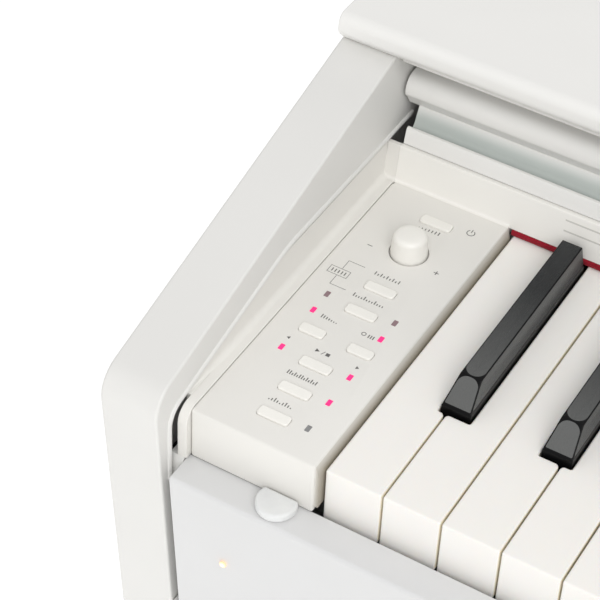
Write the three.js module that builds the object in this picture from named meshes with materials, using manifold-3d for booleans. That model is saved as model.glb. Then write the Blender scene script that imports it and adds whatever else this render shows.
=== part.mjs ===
// A digital piano on a stand: 88 sprung keys in a shallow cabinet with a sliding key cover,
// a control panel at the left end, and a cantilever stand with a pedal box.
// Millimetres. +X runs along the keyboard to the treble end, +Y to the back, +Z up.
// The origin is on the floor, under the middle of the cabinet.
import * as THREE from 'three';
import { mergeVertices } from 'three/addons/utils/BufferGeometryUtils.js';
import Module from 'manifold-3d';

const wasm = await Module();
wasm.setup();

// Overall sizes
const WIDTH = 1391;
const DEPTH = 299;
const TOP = 798;
const BOARD = 24.5;
const GAP = 0.3;

// Keyboard
const KEY_PITCH = 23.5;
const WHITE_KEYS = 52;
const KEY_GAP = 1;
const KEY_TOP = 723;
const KEY_FRONT = -131.5;
const KEY_LENGTH = 222;
const KEY_HEAD = 48;
const KEY_HEIGHT = 20;
const APRON_HEIGHT = 26;
const APRON_THICK = 2.5;
const SHARP_RISE = 11.5;
const SHARP_WIDTH = 11.8;
const SHARP_TOP_WIDTH = 8.6;
const SHARP_FRONT = 49.3;
const SHARP_BACK = 146;
const SHARP_SLOPE = 11;
const SHARP_SLOT = 13.4;

// Levels and faces worked out from the sizes above
const RIGHT = WIDTH / 2;
const INNER = RIGHT - BOARD;
const FRONT = -DEPTH / 2;
const BACK = DEPTH / 2;
const KEYS_LEFT = -WHITE_KEYS * KEY_PITCH / 2;
const PANEL_TOP = KEY_TOP + 4;
const PANEL_EDGE = INNER - 5.7;
const PANEL_INNER = -KEYS_LEFT + 2;
const SLIP_TOP = KEY_TOP - 21;
const BED_TOP = 618;
const BED_THICK = 15;
const ARM_BOTTOM = 590;
const FOOT_HEIGHT = 48;

// The key cover runs on an arc about an axis this far below the rail's lower edge.
// Each cover board: its two faces outside that radius, and its two ends in degrees behind the axis.
const COVER_RADIUS = 770;
const COVER_HALF = INNER - 1.5;
const FRONT_BOARD = { inner: 20.5, outer: 26.5, start: 1.72, end: 8 };
const REAR_BOARD = { inner: 28, outer: 33.5, start: 1.5, end: 8.3 };
const COVER_Y = KEY_FRONT + 153.5;
const COVER_Z = KEY_TOP + 20.5 - COVER_RADIUS;

const WHITE = 0xe8e7e4;
const CREAM = 0xe2e0da;
const IVORY = 0xefece7;
const INK = 0x2e3033;
const STEEL = 0xb9bcc0;

const piano = new THREE.Group();

function paint(colour, roughness, metalness = 0) {
  return new THREE.MeshStandardMaterial({ color: colour, roughness, metalness });
}

function add(name, geometry, material, parent = piano) {
  const mesh = new THREE.Mesh(geometry, material);
  mesh.name = name;
  parent.add(mesh);
  return mesh;
}

// Solid helpers: closed geometry in, closed geometry out
function toSolid(geometry) {
  const bare = geometry.index ? geometry.toNonIndexed() : geometry.clone();
  bare.deleteAttribute('normal');
  bare.deleteAttribute('uv');
  const merged = mergeVertices(bare, 1e-4);
  return new wasm.Manifold(new wasm.Mesh({
    numProp: 3,
    vertProperties: new Float32Array(merged.attributes.position.array),
    triVerts: new Uint32Array(merged.index.array),
  }));
}

function fromSolid(solid) {
  const mesh = solid.getMesh();
  const geometry = new THREE.BufferGeometry();
  geometry.setAttribute('position', new THREE.BufferAttribute(new Float32Array(mesh.vertProperties), 3));
  geometry.setIndex(new THREE.BufferAttribute(new Uint32Array(mesh.triVerts), 1));
  return geometry;
}

function carve(body, ...cutters) {
  let solid = toSolid(body);
  for (const cutter of cutters) {
    solid = solid.subtract(toSolid(cutter));
  }
  return fromSolid(solid);
}

function join(...bodies) {
  let solid = toSolid(bodies[0]);
  for (const body of bodies.slice(1)) {
    solid = solid.add(toSolid(body));
  }
  return fromSolid(solid);
}

function block(x0, x1, y0, y1, z0, z1) {
  const geometry = new THREE.BoxGeometry(x1 - x0, y1 - y0, z1 - z0);
  geometry.translate((x0 + x1) / 2, (y0 + y1) / 2, (z0 + z1) / 2);
  return geometry;
}

function shapeOf(points) {
  return new THREE.Shape(points.map(([a, b]) => new THREE.Vector2(a, b)));
}

// A side profile in Y and Z, run along X
function alongX(profile, x0, x1, curveSegments = 6) {
  const geometry = new THREE.ExtrudeGeometry(profile, { depth: x1 - x0, bevelEnabled: false, curveSegments });
  geometry.applyMatrix4(new THREE.Matrix4().makeBasis(
    new THREE.Vector3(0, 1, 0),
    new THREE.Vector3(0, 0, 1),
    new THREE.Vector3(1, 0, 0),
  ));
  geometry.translate(x0, 0, 0);
  return geometry;
}

// A plan outline in X and Y, raised along Z
function alongZ(outline, z0, z1, curveSegments = 6) {
  const geometry = new THREE.ExtrudeGeometry(outline, { depth: z1 - z0, bevelEnabled: false, curveSegments });
  geometry.translate(0, 0, z0);
  return geometry;
}

function roundedRectangle(width, length, radius) {
  const shape = new THREE.Shape();
  const w = width / 2;
  const l = length / 2;
  shape.moveTo(-w + radius, -l);
  shape.lineTo(w - radius, -l);
  shape.absarc(w - radius, -l + radius, radius, -Math.PI / 2, 0);
  shape.lineTo(w, l - radius);
  shape.absarc(w - radius, l - radius, radius, 0, Math.PI / 2);
  shape.lineTo(-w + radius, l);
  shape.absarc(-w + radius, l - radius, radius, Math.PI / 2, Math.PI);
  shape.lineTo(-w, -l + radius);
  shape.absarc(-w + radius, -l + radius, radius, Math.PI, Math.PI * 1.5);
  return shape;
}

function turned(profile, segments) {
  const geometry = new THREE.LatheGeometry(profile.map(([r, z]) => new THREE.Vector2(r, z)), segments);
  geometry.rotateX(Math.PI / 2);
  return geometry;
}

function disc(radius, z0, z1, segments = 24) {
  return turned([[0, z0], [radius, z0], [radius, z1], [0, z1]], segments);
}

// Arm boards: the ends of the cabinet, with a rounded knee, a sloped top edge and a cover track
const KNEE_RADIUS = 12;
const FRONT_LEAN = Math.tan(THREE.MathUtils.degToRad(4.5));
const ARM_SHELF = TOP - 13;

function armProfile() {
  const shape = new THREE.Shape();
  const kneeZ = KEY_TOP + 2;
  const lower = FRONT + (kneeZ - ARM_BOTTOM) * FRONT_LEAN;
  shape.moveTo(BACK, ARM_BOTTOM);
  shape.lineTo(BACK, ARM_SHELF - GAP);
  shape.lineTo(KEY_FRONT + 153, ARM_SHELF - GAP);
  shape.lineTo(KEY_FRONT - 2, KEY_TOP + 20.2);
  shape.quadraticCurveTo(FRONT - 0.5, KEY_TOP + 15, FRONT, kneeZ);
  shape.lineTo(lower, ARM_BOTTOM + KNEE_RADIUS);
  shape.quadraticCurveTo(lower + 1, ARM_BOTTOM, lower + KNEE_RADIUS, ARM_BOTTOM);
  return shape;
}

function trackProfile() {
  const shape = new THREE.Shape();
  const at = (y, z) => [KEY_FRONT + y, KEY_TOP + z];
  shape.moveTo(...at(172, 21));
  shape.lineTo(...at(70, 21));
  shape.quadraticCurveTo(...at(48, 17), ...at(3, 4.5));
  shape.quadraticCurveTo(...at(-8, 1), ...at(-8, -10));
  shape.lineTo(...at(-8, -31));
  shape.lineTo(...at(8, -31));
  shape.lineTo(...at(8, -9));
  shape.lineTo(...at(172, 3));
  return shape;
}

function armBoard(side) {
  const inner = side * INNER;
  const outer = side * RIGHT;
  const depth = side * (INNER + 8);
  const body = alongX(armProfile(), Math.min(inner, outer), Math.max(inner, outer));
  const overrun = side * (INNER - 1);
  const track = alongX(trackProfile(), Math.min(overrun, depth), Math.max(overrun, depth));
  return carve(body, track);
}

// Plastic guides beside the control blocks: a ledge, a wall under the track's lip, and an upright at
// the back that carries on the line of the name board
const GUIDE_LEDGE = PANEL_TOP;
const GUIDE_TOP = KEY_TOP + 19.5;
const GUIDE_WALL = 1.5;
const GUIDE_NOSE = 7;

function coverGuide(side) {
  const face = side * (INNER - GAP);
  const wallX = side * (INNER - GAP - GUIDE_WALL);
  const edge = side * (PANEL_EDGE + GAP);
  const front = KEY_FRONT - 7;
  const foot = SLIP_TOP + 1;
  const shape = new THREE.Shape();
  shape.moveTo(front, foot);
  shape.lineTo(KEY_FRONT + 154, foot);
  shape.lineTo(KEY_FRONT + 154, GUIDE_TOP);
  shape.lineTo(KEY_FRONT + 151.9, GUIDE_TOP);
  shape.lineTo(KEY_FRONT + 149.9, GUIDE_LEDGE);
  shape.lineTo(front + GUIDE_NOSE, GUIDE_LEDGE);
  shape.quadraticCurveTo(front, GUIDE_LEDGE, front, GUIDE_LEDGE - GUIDE_NOSE);
  const ledge = alongX(shape, Math.min(face, edge), Math.max(face, edge));
  const wall = alongX(shapeOf([
    [KEY_FRONT + 4, KEY_TOP],
    [KEY_FRONT + 153, KEY_TOP],
    [KEY_FRONT + 153, GUIDE_TOP - 0.1],
    [KEY_FRONT + 66, GUIDE_TOP - 0.1],
    [KEY_FRONT + 50, KEY_TOP + 16],
    [KEY_FRONT + 8, GUIDE_LEDGE - 0.1],
  ]), Math.min(face, wallX), Math.max(face, wallX));
  return join(ledge, wall);
}

// Music rest: a thin board with a ledge, on two tabs that drop into slots in the top board
const REST_TABS = [-180, 180];
const REST_Y = 70;

// Top board: rounded nose over the cover, thicker between the arm boards
function topBoard() {
  const nose = new THREE.Shape();
  const front = KEY_FRONT + 148.8;
  nose.moveTo(BACK, TOP);
  nose.lineTo(front + 6, TOP);
  nose.quadraticCurveTo(front, TOP, front, TOP - 5);
  nose.quadraticCurveTo(front, TOP - 9, front + 4.2, TOP - 13);
  nose.lineTo(BACK, TOP - 13);
  const slab = alongX(nose, -RIGHT, RIGHT);
  const lip = block(-INNER + 1, INNER - 1, front + 8.5, BACK - 9.5, TOP - 18.3, TOP - 12);
  const slots = REST_TABS.map((x) => block(x - 11, x + 11, REST_Y - 3, REST_Y + 3, TOP - 14, TOP + 1));
  return carve(join(slab, lip), ...slots);
}

function musicRest() {
  const lean = THREE.MathUtils.degToRad(15);
  const board = new THREE.BoxGeometry(540, 9, 178);
  board.translate(0, 0, 91);
  board.rotateX(-lean);
  board.translate(0, REST_Y + 4, TOP + 4);
  const ledge = block(-270, 270, REST_Y - 24, REST_Y + 12, TOP + GAP, TOP + 10);
  const stop = block(-270, 270, REST_Y - 26, REST_Y - 22, TOP + GAP, TOP + 16);
  const tabs = REST_TABS.map((x) => block(x - 10, x + 10, REST_Y - 2.4, REST_Y + 2.4, TOP - 11, TOP + 2));
  return join(ledge, board, stop, ...tabs);
}

// Key bed with two round speaker openings
const SPEAKER_X = 430;
const SPEAKER_Y = -20;

function bottomBoard() {
  const bed = block(-INNER + GAP, INNER - GAP, FRONT + 9, BACK - 9.5, BED_TOP - BED_THICK, BED_TOP);
  const holes = [-SPEAKER_X, SPEAKER_X].map((x) => {
    const hole = disc(54, BED_TOP - BED_THICK - 1, BED_TOP + 1, 32);
    hole.translate(x, SPEAKER_Y, 0);
    return hole;
  });
  return carve(bed, ...holes);
}

function speaker(x) {
  const cone = turned([
    [0, 12], [20, 16], [50, 0.4], [60, 0.4], [60, 5], [52, 5], [36, 20], [22, 26], [22, 46], [0, 46],
  ], 32);
  cone.translate(x, SPEAKER_Y, BED_TOP);
  return cone;
}

// Key slip: the leaning front rail below the keys
function keySlip() {
  const foot = BED_TOP + GAP;
  const lean = (SLIP_TOP - foot) * FRONT_LEAN;
  const front = FRONT + 0.5;
  return alongX(shapeOf([
    [front, SLIP_TOP],
    [front + lean, foot],
    [front + lean + 16, foot],
    [KEY_FRONT - 3.2, SLIP_TOP - 16],
    [KEY_FRONT - 3.2, SLIP_TOP],
  ]), -INNER + GAP, INNER - GAP);
}

function bumper(side) {
  const pad = disc(8.6, GAP, 4.5, 24);
  pad.translate(side * (PANEL_INNER + 12.5), KEY_FRONT - 8.4, SLIP_TOP);
  const behind = block(-RIGHT, RIGHT, KEY_FRONT - 4.4, KEY_FRONT + 20, SLIP_TOP - 5, SLIP_TOP + 10);
  return carve(pad, behind);
}

function powerLamp() {
  const z = KEY_TOP - 58;
  const y = FRONT + 0.5 + (SLIP_TOP - z) * FRONT_LEAN;
  const lens = disc(1.6, 0, 1.2, 16);
  lens.rotateX(Math.PI / 2);
  lens.translate(KEYS_LEFT - 32.5, y - 0.3, z);
  return lens;
}

// Name board: the leaning strip behind the keys, one piece in looks with the control blocks
const NAME_FRONT = KEY_FRONT + 149.6;
const NAME_FOOT = KEY_TOP + 3.4;
const NAME_TOP = KEY_TOP + 19.8;
const NAME_SETBACK = 2.4;
const NAME_DEPTH = 6.4;

function nameBoard() {
  return alongX(shapeOf([
    [NAME_FRONT, NAME_FOOT],
    [NAME_FRONT + NAME_SETBACK, NAME_TOP],
    [NAME_FRONT + NAME_DEPTH, NAME_TOP],
    [NAME_FRONT + NAME_DEPTH, NAME_FOOT],
  ]), -PANEL_EDGE, PANEL_EDGE);
}

// Controls: name, place across from the first key, place back from the key fronts, cap width
const BUTTONS = [
  ['power_button', -27, 134.5, 13.5],
  ['function_button', -27, 88.6, 13],
  ['metronome_button', -27, 73.4, 13],
  ['reverb_button', -37.7, 55, 10.5],
  ['record_button', -16.8, 55, 10.5],
  ['play_stop_button', -27.3, 39.7, 13],
  ['piano_tone_button', -27.2, 24.5, 13],
  ['electric_tone_button', -27, 9.5, 13],
];
const BUTTON_LENGTH = 4.8;
const BUTTON_PROUD = 1.6;
const BUTTON_TRAVEL = 0.8;
const KNOB_X = -28.2;
const KNOB_Y = 113.8;
const KNOB_RADIUS = 7.5;
const PANEL_WALL = 3;

function controlBlock(side) {
  const x0 = Math.min(side * PANEL_EDGE, side * PANEL_INNER);
  const x1 = Math.max(side * PANEL_EDGE, side * PANEL_INNER);
  const y0 = KEY_FRONT - 4;
  const y1 = NAME_FRONT - GAP;
  const shell = block(x0, x1, y0, y1, SLIP_TOP + GAP, PANEL_TOP);
  const hollow = block(
    x0 + PANEL_WALL, x1 - PANEL_WALL, y0 + PANEL_WALL, y1 - PANEL_WALL, KEY_TOP - 40, PANEL_TOP - PANEL_WALL,
  );
  if (side > 0) {
    return carve(shell, hollow);
  }
  const holes = BUTTONS.map(([, x, y, width]) => {
    const hole = alongZ(roundedRectangle(width + 0.9, BUTTON_LENGTH + 0.9, 1.6), PANEL_TOP - 8, PANEL_TOP + 1, 3);
    hole.translate(KEYS_LEFT + x, KEY_FRONT + y, 0);
    return hole;
  });
  const knobWell = disc(3.6, PANEL_TOP - 8, PANEL_TOP + 1, 20);
  knobWell.translate(KEYS_LEFT + KNOB_X, KEY_FRONT + KNOB_Y, 0);
  return carve(shell, hollow, ...holes, knobWell);
}

function buttonCap(width) {
  const cap = alongZ(roundedRectangle(width, BUTTON_LENGTH, 1.2), -4.6, BUTTON_PROUD, 3);
  const flange = block(-width / 2 - 1.2, width / 2 + 1.2, -BUTTON_LENGTH / 2, BUTTON_LENGTH / 2, -5.6, -3.4);
  return join(cap, flange);
}

function addButtons() {
  for (const [name, x, y, width] of BUTTONS) {
    const button = add(name, buttonCap(width), paint(CREAM, 0.45));
    button.position.set(KEYS_LEFT + x, KEY_FRONT + y, PANEL_TOP);
  }
}

function volumeKnob() {
  return turned([
    [0, -9], [2.8, -9], [2.8, 0.6], [KNOB_RADIUS, 0.6], [KNOB_RADIUS - 0.9, 9], [KNOB_RADIUS - 2, 10], [0, 10],
  ], 28);
}

// Circuit board under the left control block, with a switch under every button and the volume control
function panelBoard() {
  const z = PANEL_TOP - 15;
  const x = KEYS_LEFT - 28.2;
  const board = block(x - 20, x + 20, KEY_FRONT + 2, KEY_FRONT + 142, z, z + 1.6);
  const switches = BUTTONS.map(([, sx, sy]) => block(
    KEYS_LEFT + sx - 3, KEYS_LEFT + sx + 3, KEY_FRONT + sy - 3, KEY_FRONT + sy + 3,
    z + 1, PANEL_TOP - 5.6 - BUTTON_TRAVEL - GAP,
  ));
  const pot = disc(7, z + 1, PANEL_TOP - 9.6, 20);
  pot.translate(KEYS_LEFT + KNOB_X, KEY_FRONT + KNOB_Y, 0);
  return join(board, ...switches, pot);
}

// Keys. A sharp's place from the line between its two white keys, by note letter
const NOTES = ['A', 'B', 'C', 'D', 'E', 'F', 'G'];
const SHARP_OFFSET = { A: 3.4, C: -2.4, D: 2.4, F: -3.4, G: 0 };

function noteOf(index) {
  return NOTES[index % NOTES.length];
}

function octaveOf(index) {
  return Math.floor((index + 5) / NOTES.length);
}

// The sharp after white key `index`, as its middle from that key's left edge, or null
function sharpAfter(index) {
  const offset = SHARP_OFFSET[noteOf(index)];
  if (offset === undefined || index < 0 || index >= WHITE_KEYS - 1) {
    return null;
  }
  return KEY_PITCH + offset;
}

// A white key: a head, a tail cut back beside the sharps, and an apron that hides the gap in front
function whiteKey(index) {
  const left = KEY_GAP / 2;
  const right = KEY_PITCH - KEY_GAP / 2;
  const before = index > 0 ? sharpAfter(index - 1) : null;
  const after = sharpAfter(index);
  const tailLeft = before === null ? left : before - KEY_PITCH + SHARP_SLOT / 2;
  const tailRight = after === null ? right : after - SHARP_SLOT / 2;
  const outline = [[left, 0], [right, 0], [right, KEY_HEAD]];
  if (tailRight < right) {
    outline.push([tailRight, KEY_HEAD]);
  }
  outline.push([tailRight, KEY_LENGTH], [tailLeft, KEY_LENGTH]);
  if (tailLeft > left) {
    outline.push([tailLeft, KEY_HEAD]);
  }
  outline.push([left, KEY_HEAD]);
  const apron = block(left, right, 0, APRON_THICK, -APRON_HEIGHT, -KEY_HEIGHT + 1);
  const body = join(alongZ(shapeOf(outline), -KEY_HEIGHT, 0), apron);
  body.translate(KEYS_LEFT + index * KEY_PITCH, KEY_FRONT, KEY_TOP);
  return body;
}

// The cap of a black key: narrower at the top, with a sloped front
function sharpCap() {
  const base = SHARP_WIDTH / 2;
  const crown = SHARP_TOP_WIDTH / 2;
  const corners = [
    [-base, SHARP_FRONT, 0], [base, SHARP_FRONT, 0], [base, SHARP_BACK, 0], [-base, SHARP_BACK, 0],
    [-crown, SHARP_FRONT + SHARP_SLOPE, SHARP_RISE], [crown, SHARP_FRONT + SHARP_SLOPE, SHARP_RISE],
    [crown, SHARP_BACK, SHARP_RISE], [-crown, SHARP_BACK, SHARP_RISE],
  ];
  const faces = [
    0, 2, 1, 0, 3, 2, 4, 5, 6, 4, 6, 7, 0, 1, 5, 0, 5, 4,
    1, 2, 6, 1, 6, 5, 2, 3, 7, 2, 7, 6, 3, 0, 4, 3, 4, 7,
  ];
  const geometry = new THREE.BufferGeometry();
  geometry.setAttribute('position', new THREE.Float32BufferAttribute(corners.flat(), 3));
  geometry.setIndex(faces);
  return geometry;
}

function blackKey(index) {
  const stem = block(-SHARP_WIDTH / 2, SHARP_WIDTH / 2, SHARP_FRONT, SHARP_BACK, -8, 0.5);
  const tail = block(-4.5, 4.5, SHARP_FRONT + 3, KEY_LENGTH, -16, -1);
  const key = join(sharpCap(), stem, tail);
  key.translate(KEYS_LEFT + index * KEY_PITCH + sharpAfter(index), KEY_FRONT, KEY_TOP);
  return key;
}

// The keys at the bass end are nodes of their own; the rest are banks, each on a bar near the pivot
const OWN_KEYS = 5;
const BANKS = [[5, 22, 'low'], [23, 36, 'middle'], [37, 51, 'high']];
const BAR_FRONT = 205;
const BAR_BACK = 212;

function bankBar(first, last, z0, z1) {
  return block(
    KEYS_LEFT + first, KEYS_LEFT + last,
    KEY_FRONT + BAR_FRONT, KEY_FRONT + BAR_BACK, KEY_TOP + z0, KEY_TOP + z1,
  );
}

function addKeys() {
  const white = paint(IVORY, 0.35);
  const black = paint(INK, 0.45);
  for (let index = 0; index < OWN_KEYS; index += 1) {
    const name = `${noteOf(index).toLowerCase()}${octaveOf(index)}`;
    add(`key_${name}`, whiteKey(index), white);
    if (sharpAfter(index) !== null) {
      add(`key_${name}_sharp`, blackKey(index), black);
    }
  }
  for (const [first, last, name] of BANKS) {
    const whites = [];
    const blacks = [];
    const sharps = [];
    for (let index = first; index <= last; index += 1) {
      whites.push(whiteKey(index));
      if (sharpAfter(index) !== null) {
        const middle = index * KEY_PITCH + sharpAfter(index);
        sharps.push(middle);
        blacks.push(blackKey(index), bankBar(middle - 3, middle + 3, -2, 3));
      }
    }
    const whiteBar = bankBar(first * KEY_PITCH + KEY_PITCH / 2, (last + 0.5) * KEY_PITCH, -20, -17);
    const blackBar = bankBar(sharps[0], sharps[sharps.length - 1], 1, 4);
    add(`white_keys_${name}`, join(whiteBar, ...whites), white);
    add(`black_keys_${name}`, join(blackBar, ...blacks), black);
  }
}

// Key chassis: the frame that the keys pivot in, with a front stop bed and a rear fulcrum rail
function keyChassis() {
  const x = -KEYS_LEFT + 1;
  const bed = block(-x, x, KEY_FRONT + 4, KEY_FRONT + 226, KEY_TOP - 37, KEY_TOP - 34);
  const rear = block(-x, x, KEY_FRONT + 224, KEY_FRONT + 229, KEY_TOP - 36, KEY_TOP - 4);
  const stop = block(-x, x, KEY_FRONT + 30, KEY_FRONT + 42, KEY_TOP - 36, KEY_TOP - 30);
  const feet = [-1, 0, 1].map((place) => block(
    place * 560 - 20, place * 560 + 20, KEY_FRONT + 40, KEY_FRONT + 200, BED_TOP + GAP, KEY_TOP - 36,
  ));
  return join(bed, rear, stop, ...feet);
}

function mainBoard() {
  const board = block(90, 300, -60, 60, BED_TOP + 6, BED_TOP + 7.6);
  const chips = [120, 170, 220].map((x) => block(x, x + 22, -15, 7, BED_TOP + 7, BED_TOP + 11));
  const posts = [[96, -54], [294, -54], [96, 54], [294, 54]].map(([x, y]) => {
    const post = disc(3, BED_TOP + GAP, BED_TOP + 7, 10);
    post.translate(x, y, 0);
    return post;
  });
  return join(board, ...chips, ...posts);
}

// Key cover: a rail with a finger cove, the front board behind it, and a rear board that follows
function coverRail() {
  const shape = new THREE.Shape();
  const at = (y, z) => [KEY_FRONT + y, KEY_TOP + z];
  shape.moveTo(...at(153.5, 20.5));
  shape.lineTo(...at(158, 20.5));
  shape.lineTo(...at(162, 27));
  shape.lineTo(...at(171, 34.5));
  shape.lineTo(...at(176, 40));
  shape.lineTo(...at(176, 47));
  shape.lineTo(...at(168, 47));
  shape.quadraticCurveTo(...at(161, 46.6), ...at(161, 41.5));
  shape.quadraticCurveTo(...at(161, 37), ...at(166, 32));
  shape.quadraticCurveTo(...at(158.5, 31.5), ...at(156, 27.5));
  return alongX(shape, -PANEL_EDGE + 0.5, PANEL_EDGE - 0.5);
}

function coverBoard(size) {
  const shape = new THREE.Shape();
  const start = THREE.MathUtils.degToRad(90 - size.start);
  const end = THREE.MathUtils.degToRad(90 - size.end);
  shape.absarc(COVER_Y, COVER_Z, COVER_RADIUS + size.outer, start, end, true);
  shape.absarc(COVER_Y, COVER_Z, COVER_RADIUS + size.inner, end, start, false);
  return alongX(shape, -COVER_HALF, COVER_HALF);
}

// Boards of the stand
function legBoard(side) {
  const x0 = Math.min(side * INNER, side * RIGHT);
  const x1 = Math.max(side * INNER, side * RIGHT);
  return block(x0, x1, -14, BACK, FOOT_HEIGHT + GAP, ARM_BOTTOM - GAP);
}

function footBoard(side) {
  const shape = new THREE.Shape();
  const front = FRONT + 2;
  shape.moveTo(BACK, 0);
  shape.lineTo(BACK, FOOT_HEIGHT);
  shape.lineTo(front + 40, FOOT_HEIGHT);
  shape.quadraticCurveTo(front, FOOT_HEIGHT - 4, front, 14);
  shape.quadraticCurveTo(front, 0, front + 12, 0);
  const x0 = Math.min(side * (RIGHT - 36), side * RIGHT);
  const x1 = Math.max(side * (RIGHT - 36), side * RIGHT);
  return alongX(shape, x0, x1);
}

// Pedal box: a hollow cross rail with a slot for each pedal, open at the back
const PEDAL_PITCH = 72;
const PEDAL_Z = 92;
const PEDAL_PIVOT_Y = 96;
const PEDAL_BOX_FRONT = 22;
const ADJUSTER_Y = 72;

function pedalBox() {
  const x = INNER - GAP;
  const shell = block(-x, x, PEDAL_BOX_FRONT, 124, 58, 158);
  const hollow = block(-x + 15, x - 15, PEDAL_BOX_FRONT + 12, 125, 70, 146);
  const slots = [-1, 0, 1].map((place) => block(
    place * PEDAL_PITCH - 17, place * PEDAL_PITCH + 17, PEDAL_BOX_FRONT - 1, PEDAL_BOX_FRONT + 13, 76, 104,
  ));
  const cheeks = [-1, 1].map((side) => block(
    side * 130 - 5, side * 130 + 5, 70, 124, 69, 130,
  ));
  const bores = [-1, 1].map((side) => {
    const bore = disc(4.4, side * 130 - 20, side * 130 + 20, 16);
    bore.rotateY(Math.PI / 2);
    bore.translate(0, PEDAL_PIVOT_Y, PEDAL_Z);
    return bore;
  });
  const stemHole = disc(6.7, 50, 75, 24);
  stemHole.translate(0, ADJUSTER_Y, 0);
  return carve(join(carve(shell, hollow, ...slots), ...cheeks), ...bores, stemHole);
}

function pedalShaft() {
  const shaft = disc(4, -138, 138, 16);
  shaft.rotateY(Math.PI / 2);
  shaft.translate(0, PEDAL_PIVOT_Y, PEDAL_Z);
  return shaft;
}

function pedal() {
  const outline = new THREE.Shape();
  outline.moveTo(-9, 12);
  outline.lineTo(-9, -60);
  outline.quadraticCurveTo(-10, -85, -15, -105);
  outline.lineTo(-15, -134);
  outline.quadraticCurveTo(-14, -146, 0, -147);
  outline.quadraticCurveTo(14, -146, 15, -134);
  outline.lineTo(15, -105);
  outline.quadraticCurveTo(10, -85, 9, -60);
  outline.lineTo(9, 12);
  const plate = alongZ(outline, -4, 4, 5);
  const hub = disc(8, -9, 9, 20);
  hub.rotateY(Math.PI / 2);
  const bore = disc(4.4, -12, 12, 16);
  bore.rotateY(Math.PI / 2);
  return carve(join(plate, hub), bore);
}

function pedalAdjuster() {
  const foot = turned([[0, 0], [17, 0], [19, 3], [19, 9], [16, 12], [6, 12], [6, 67], [0, 67]], 24);
  foot.translate(0, ADJUSTER_Y, 0);
  return foot;
}

function headphoneBox() {
  const z1 = BED_TOP - BED_THICK - GAP;
  const box = block(-640, -580, -138, -78, z1 - 26, z1);
  const jacks = [-624, -596].map((x) => {
    const jack = disc(3.3, 0, 30, 16);
    jack.rotateX(Math.PI / 2);
    jack.translate(x, -110, z1 - 13);
    return jack;
  });
  return carve(box, ...jacks);
}

// Connector box under the key bed at the back: a power socket and a data port
function powerInlet() {
  const z1 = BED_TOP - BED_THICK - GAP;
  const back = 118;
  const box = block(520, 580, 70, back, z1 - 26, z1);
  const socket = disc(3.2, -1, 20, 16);
  socket.rotateX(Math.PI / 2);
  socket.translate(535, back, z1 - 13);
  const port = block(552, 566, back - 18, back + 1, z1 - 19, z1 - 7);
  return carve(box, socket, port);
}

function caseBack() {
  return block(-INNER + GAP, INNER - GAP, BACK - 9, BACK, BED_TOP - BED_THICK, TOP - 13.3);
}

function buildCabinet() {
  const board = paint(WHITE, 0.5);
  const moulding = paint(CREAM, 0.45);
  const ends = [[-1, 'left'], [1, 'right']];
  for (const [side, name] of ends) {
    add(`arm_board_${name}`, armBoard(side), board);
    add(`cover_guide_${name}`, coverGuide(side), moulding);
    add(`control_block_${name}`, controlBlock(side), moulding);
    add(`bumper_${name}`, bumper(side), paint(0xd9dbda, 0.6));
  }
  add('top_board', topBoard(), board);
  add('music_rest', musicRest(), board);
  add('case_back', caseBack(), board);
  add('bottom_board', bottomBoard(), board);
  add('key_slip', keySlip(), moulding);
  add('power_lamp', powerLamp(), paint(0xff6a2a, 0.3));
  add('name_board', nameBoard(), moulding);
  add('key_felt', block(
    KEYS_LEFT, -KEYS_LEFT, KEY_FRONT + 148.4, KEY_FRONT + 152.8, KEY_TOP + 0.4, KEY_TOP + 3,
  ), paint(0xa5001e, 0.9));
}

function buildInside() {
  add('key_chassis', keyChassis(), paint(0x5b5e62, 0.6));
  add('panel_circuit_board', panelBoard(), paint(0x2f6b3c, 0.6));
  add('main_circuit_board', mainBoard(), paint(0x2f6b3c, 0.6));
  add('speaker_left', speaker(-SPEAKER_X), paint(0x25262a, 0.7));
  add('speaker_right', speaker(SPEAKER_X), paint(0x25262a, 0.7));
  add('headphone_box', headphoneBox(), paint(0x2a2b2e, 0.6));
  add('power_inlet', powerInlet(), paint(0x2a2b2e, 0.6));
}

function buildCover() {
  add('cover_rail', coverRail(), paint(WHITE, 0.5));
  add('cover_front_board', coverBoard(FRONT_BOARD), paint(WHITE, 0.5));
  add('cover_rear_board', coverBoard(REAR_BOARD), paint(WHITE, 0.5));
}

function buildStand() {
  const board = paint(WHITE, 0.5);
  for (const [side, name] of [[-1, 'left'], [1, 'right']]) {
    add(`leg_board_${name}`, legBoard(side), board);
    add(`foot_board_${name}`, footBoard(side), board);
  }
  add('stand_back_board', block(-INNER + GAP, INNER - GAP, 125, 140, 200, 560), board);
  add('pedal_box', pedalBox(), board);
  add('pedal_shaft', pedalShaft(), paint(STEEL, 0.3, 1));
  for (const [place, name] of [[-1, 'soft_pedal'], [0, 'sostenuto_pedal'], [1, 'damper_pedal']]) {
    const mesh = add(name, pedal(), paint(0xc9a45c, 0.25, 1));
    mesh.position.set(place * PEDAL_PITCH, PEDAL_PIVOT_Y, PEDAL_Z);
  }
  add('pedal_adjuster', pedalAdjuster(), paint(0x2a2b2e, 0.6));
}

buildCabinet();
buildInside();
addKeys();
addButtons();
const knob = add('volume_knob', volumeKnob(), paint(CREAM, 0.45));
knob.position.set(KEYS_LEFT + KNOB_X, KEY_FRONT + KNOB_Y, PANEL_TOP);
buildCover();
buildStand();

export default piano;
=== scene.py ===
import bpy, bmesh, math
from mathutils import Matrix, Vector


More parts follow.
